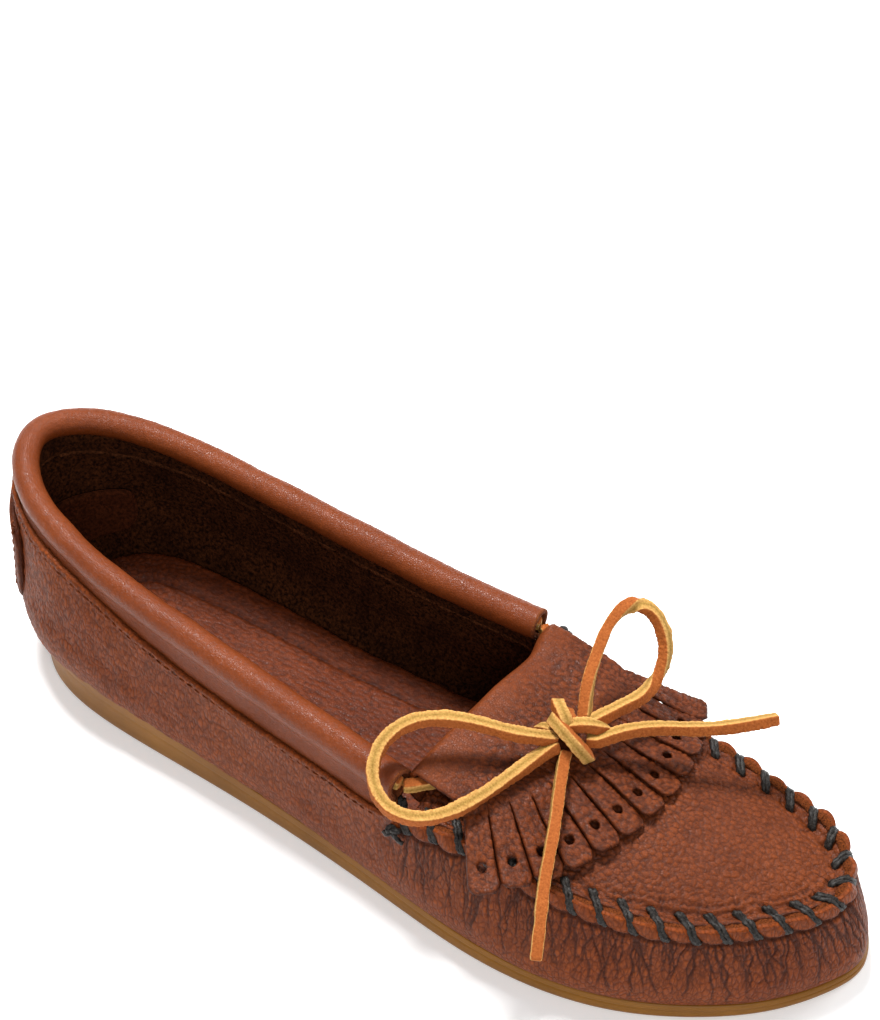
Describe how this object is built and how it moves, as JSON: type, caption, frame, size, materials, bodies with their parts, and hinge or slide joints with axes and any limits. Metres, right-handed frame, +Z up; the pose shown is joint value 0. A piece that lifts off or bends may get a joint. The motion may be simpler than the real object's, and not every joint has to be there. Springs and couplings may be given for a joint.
{
  "type": "moccasin",
  "caption": "Right-foot leather moccasin with a gum rubber sole, whipstitched plug, rolled collar, fringed kiltie and a thong lace tied in a bow",
  "frame": {"origin": "On the ground, under the middle of the sole's length", "axes": "+X to the toe, +Y to the big toe side, +Z up"},
  "size_m": [0.2499, 0.0922, 0.0701],
  "materials": {
    "gum_rubber": "satin",
    "upper_leather": "satin",
    "collar_leather": "satin",
    "liner_leather": "satin",
    "suede_lining": "matte",
    "fibre_board": "matte",
    "foam": "matte",
    "lace_leather": "matte",
    "waxed_thread": "satin",
    "sewing_thread": "matte"
  },
  "bodies": {
    "shoe": {"outsole": "gum_rubber", "moccasin_body": "upper_leather", "plug": "upper_leather", "kiltie": "upper_leather", "insole_board": "fibre_board", "cushion_pad": "foam", "sock_liner": "liner_leather", "heel_counter": "fibre_board", "counter_cover": "suede_lining", "heel_tab": "upper_leather", "heel_tab_stitching": "sewing_thread", "heel_seam_stitching": "sewing_thread", "collar_stitching": "sewing_thread", "kiltie_stitching": "sewing_thread", "collar_roll": "collar_leather", "collar_facing": "collar_leather", "lace_collar_run": "lace_leather", "lace_lead_near": "lace_leather", "lace_lead_far": "lace_leather", "lace_knot": "lace_leather", "whipstitch_thread": "waxed_thread", "whipstitch_knot_near": "waxed_thread", "whipstitch_knot_far": "waxed_thread"},
    "near_loop": {"lace_loop_near": "lace_leather"},
    "far_loop": {"lace_loop_far": "lace_leather"},
    "near_tail": {"lace_tail_near": "lace_leather"},
    "far_tail": {"lace_tail_far": "lace_leather"}
  },
  "joints": [
    {"name": "near_loop_lift", "type": "hinge", "parent": "shoe", "child": "near_loop", "pos_m": [0.0468, -0.0008, 0.0532], "axis": [-0.7317, 0.6816, 0], "range_deg": [0, 35]},
    {"name": "far_loop_lift", "type": "hinge", "parent": "shoe", "child": "far_loop", "pos_m": [0.0468, -0.0008, 0.0532], "axis": [0.9988, 0.0499, 0], "range_deg": [0, 20]},
    {"name": "near_tail_lift", "type": "hinge", "parent": "shoe", "child": "near_tail", "pos_m": [0.0468, -0.0008, 0.0532], "axis": [-0.9207, -0.3903, 0], "range_deg": [0, 50]},
    {"name": "far_tail_lift", "type": "hinge", "parent": "shoe", "child": "far_tail", "pos_m": [0.0468, -0.0008, 0.0532], "axis": [0.7021, -0.7121, 0], "range_deg": [0, 35]}
  ]
}
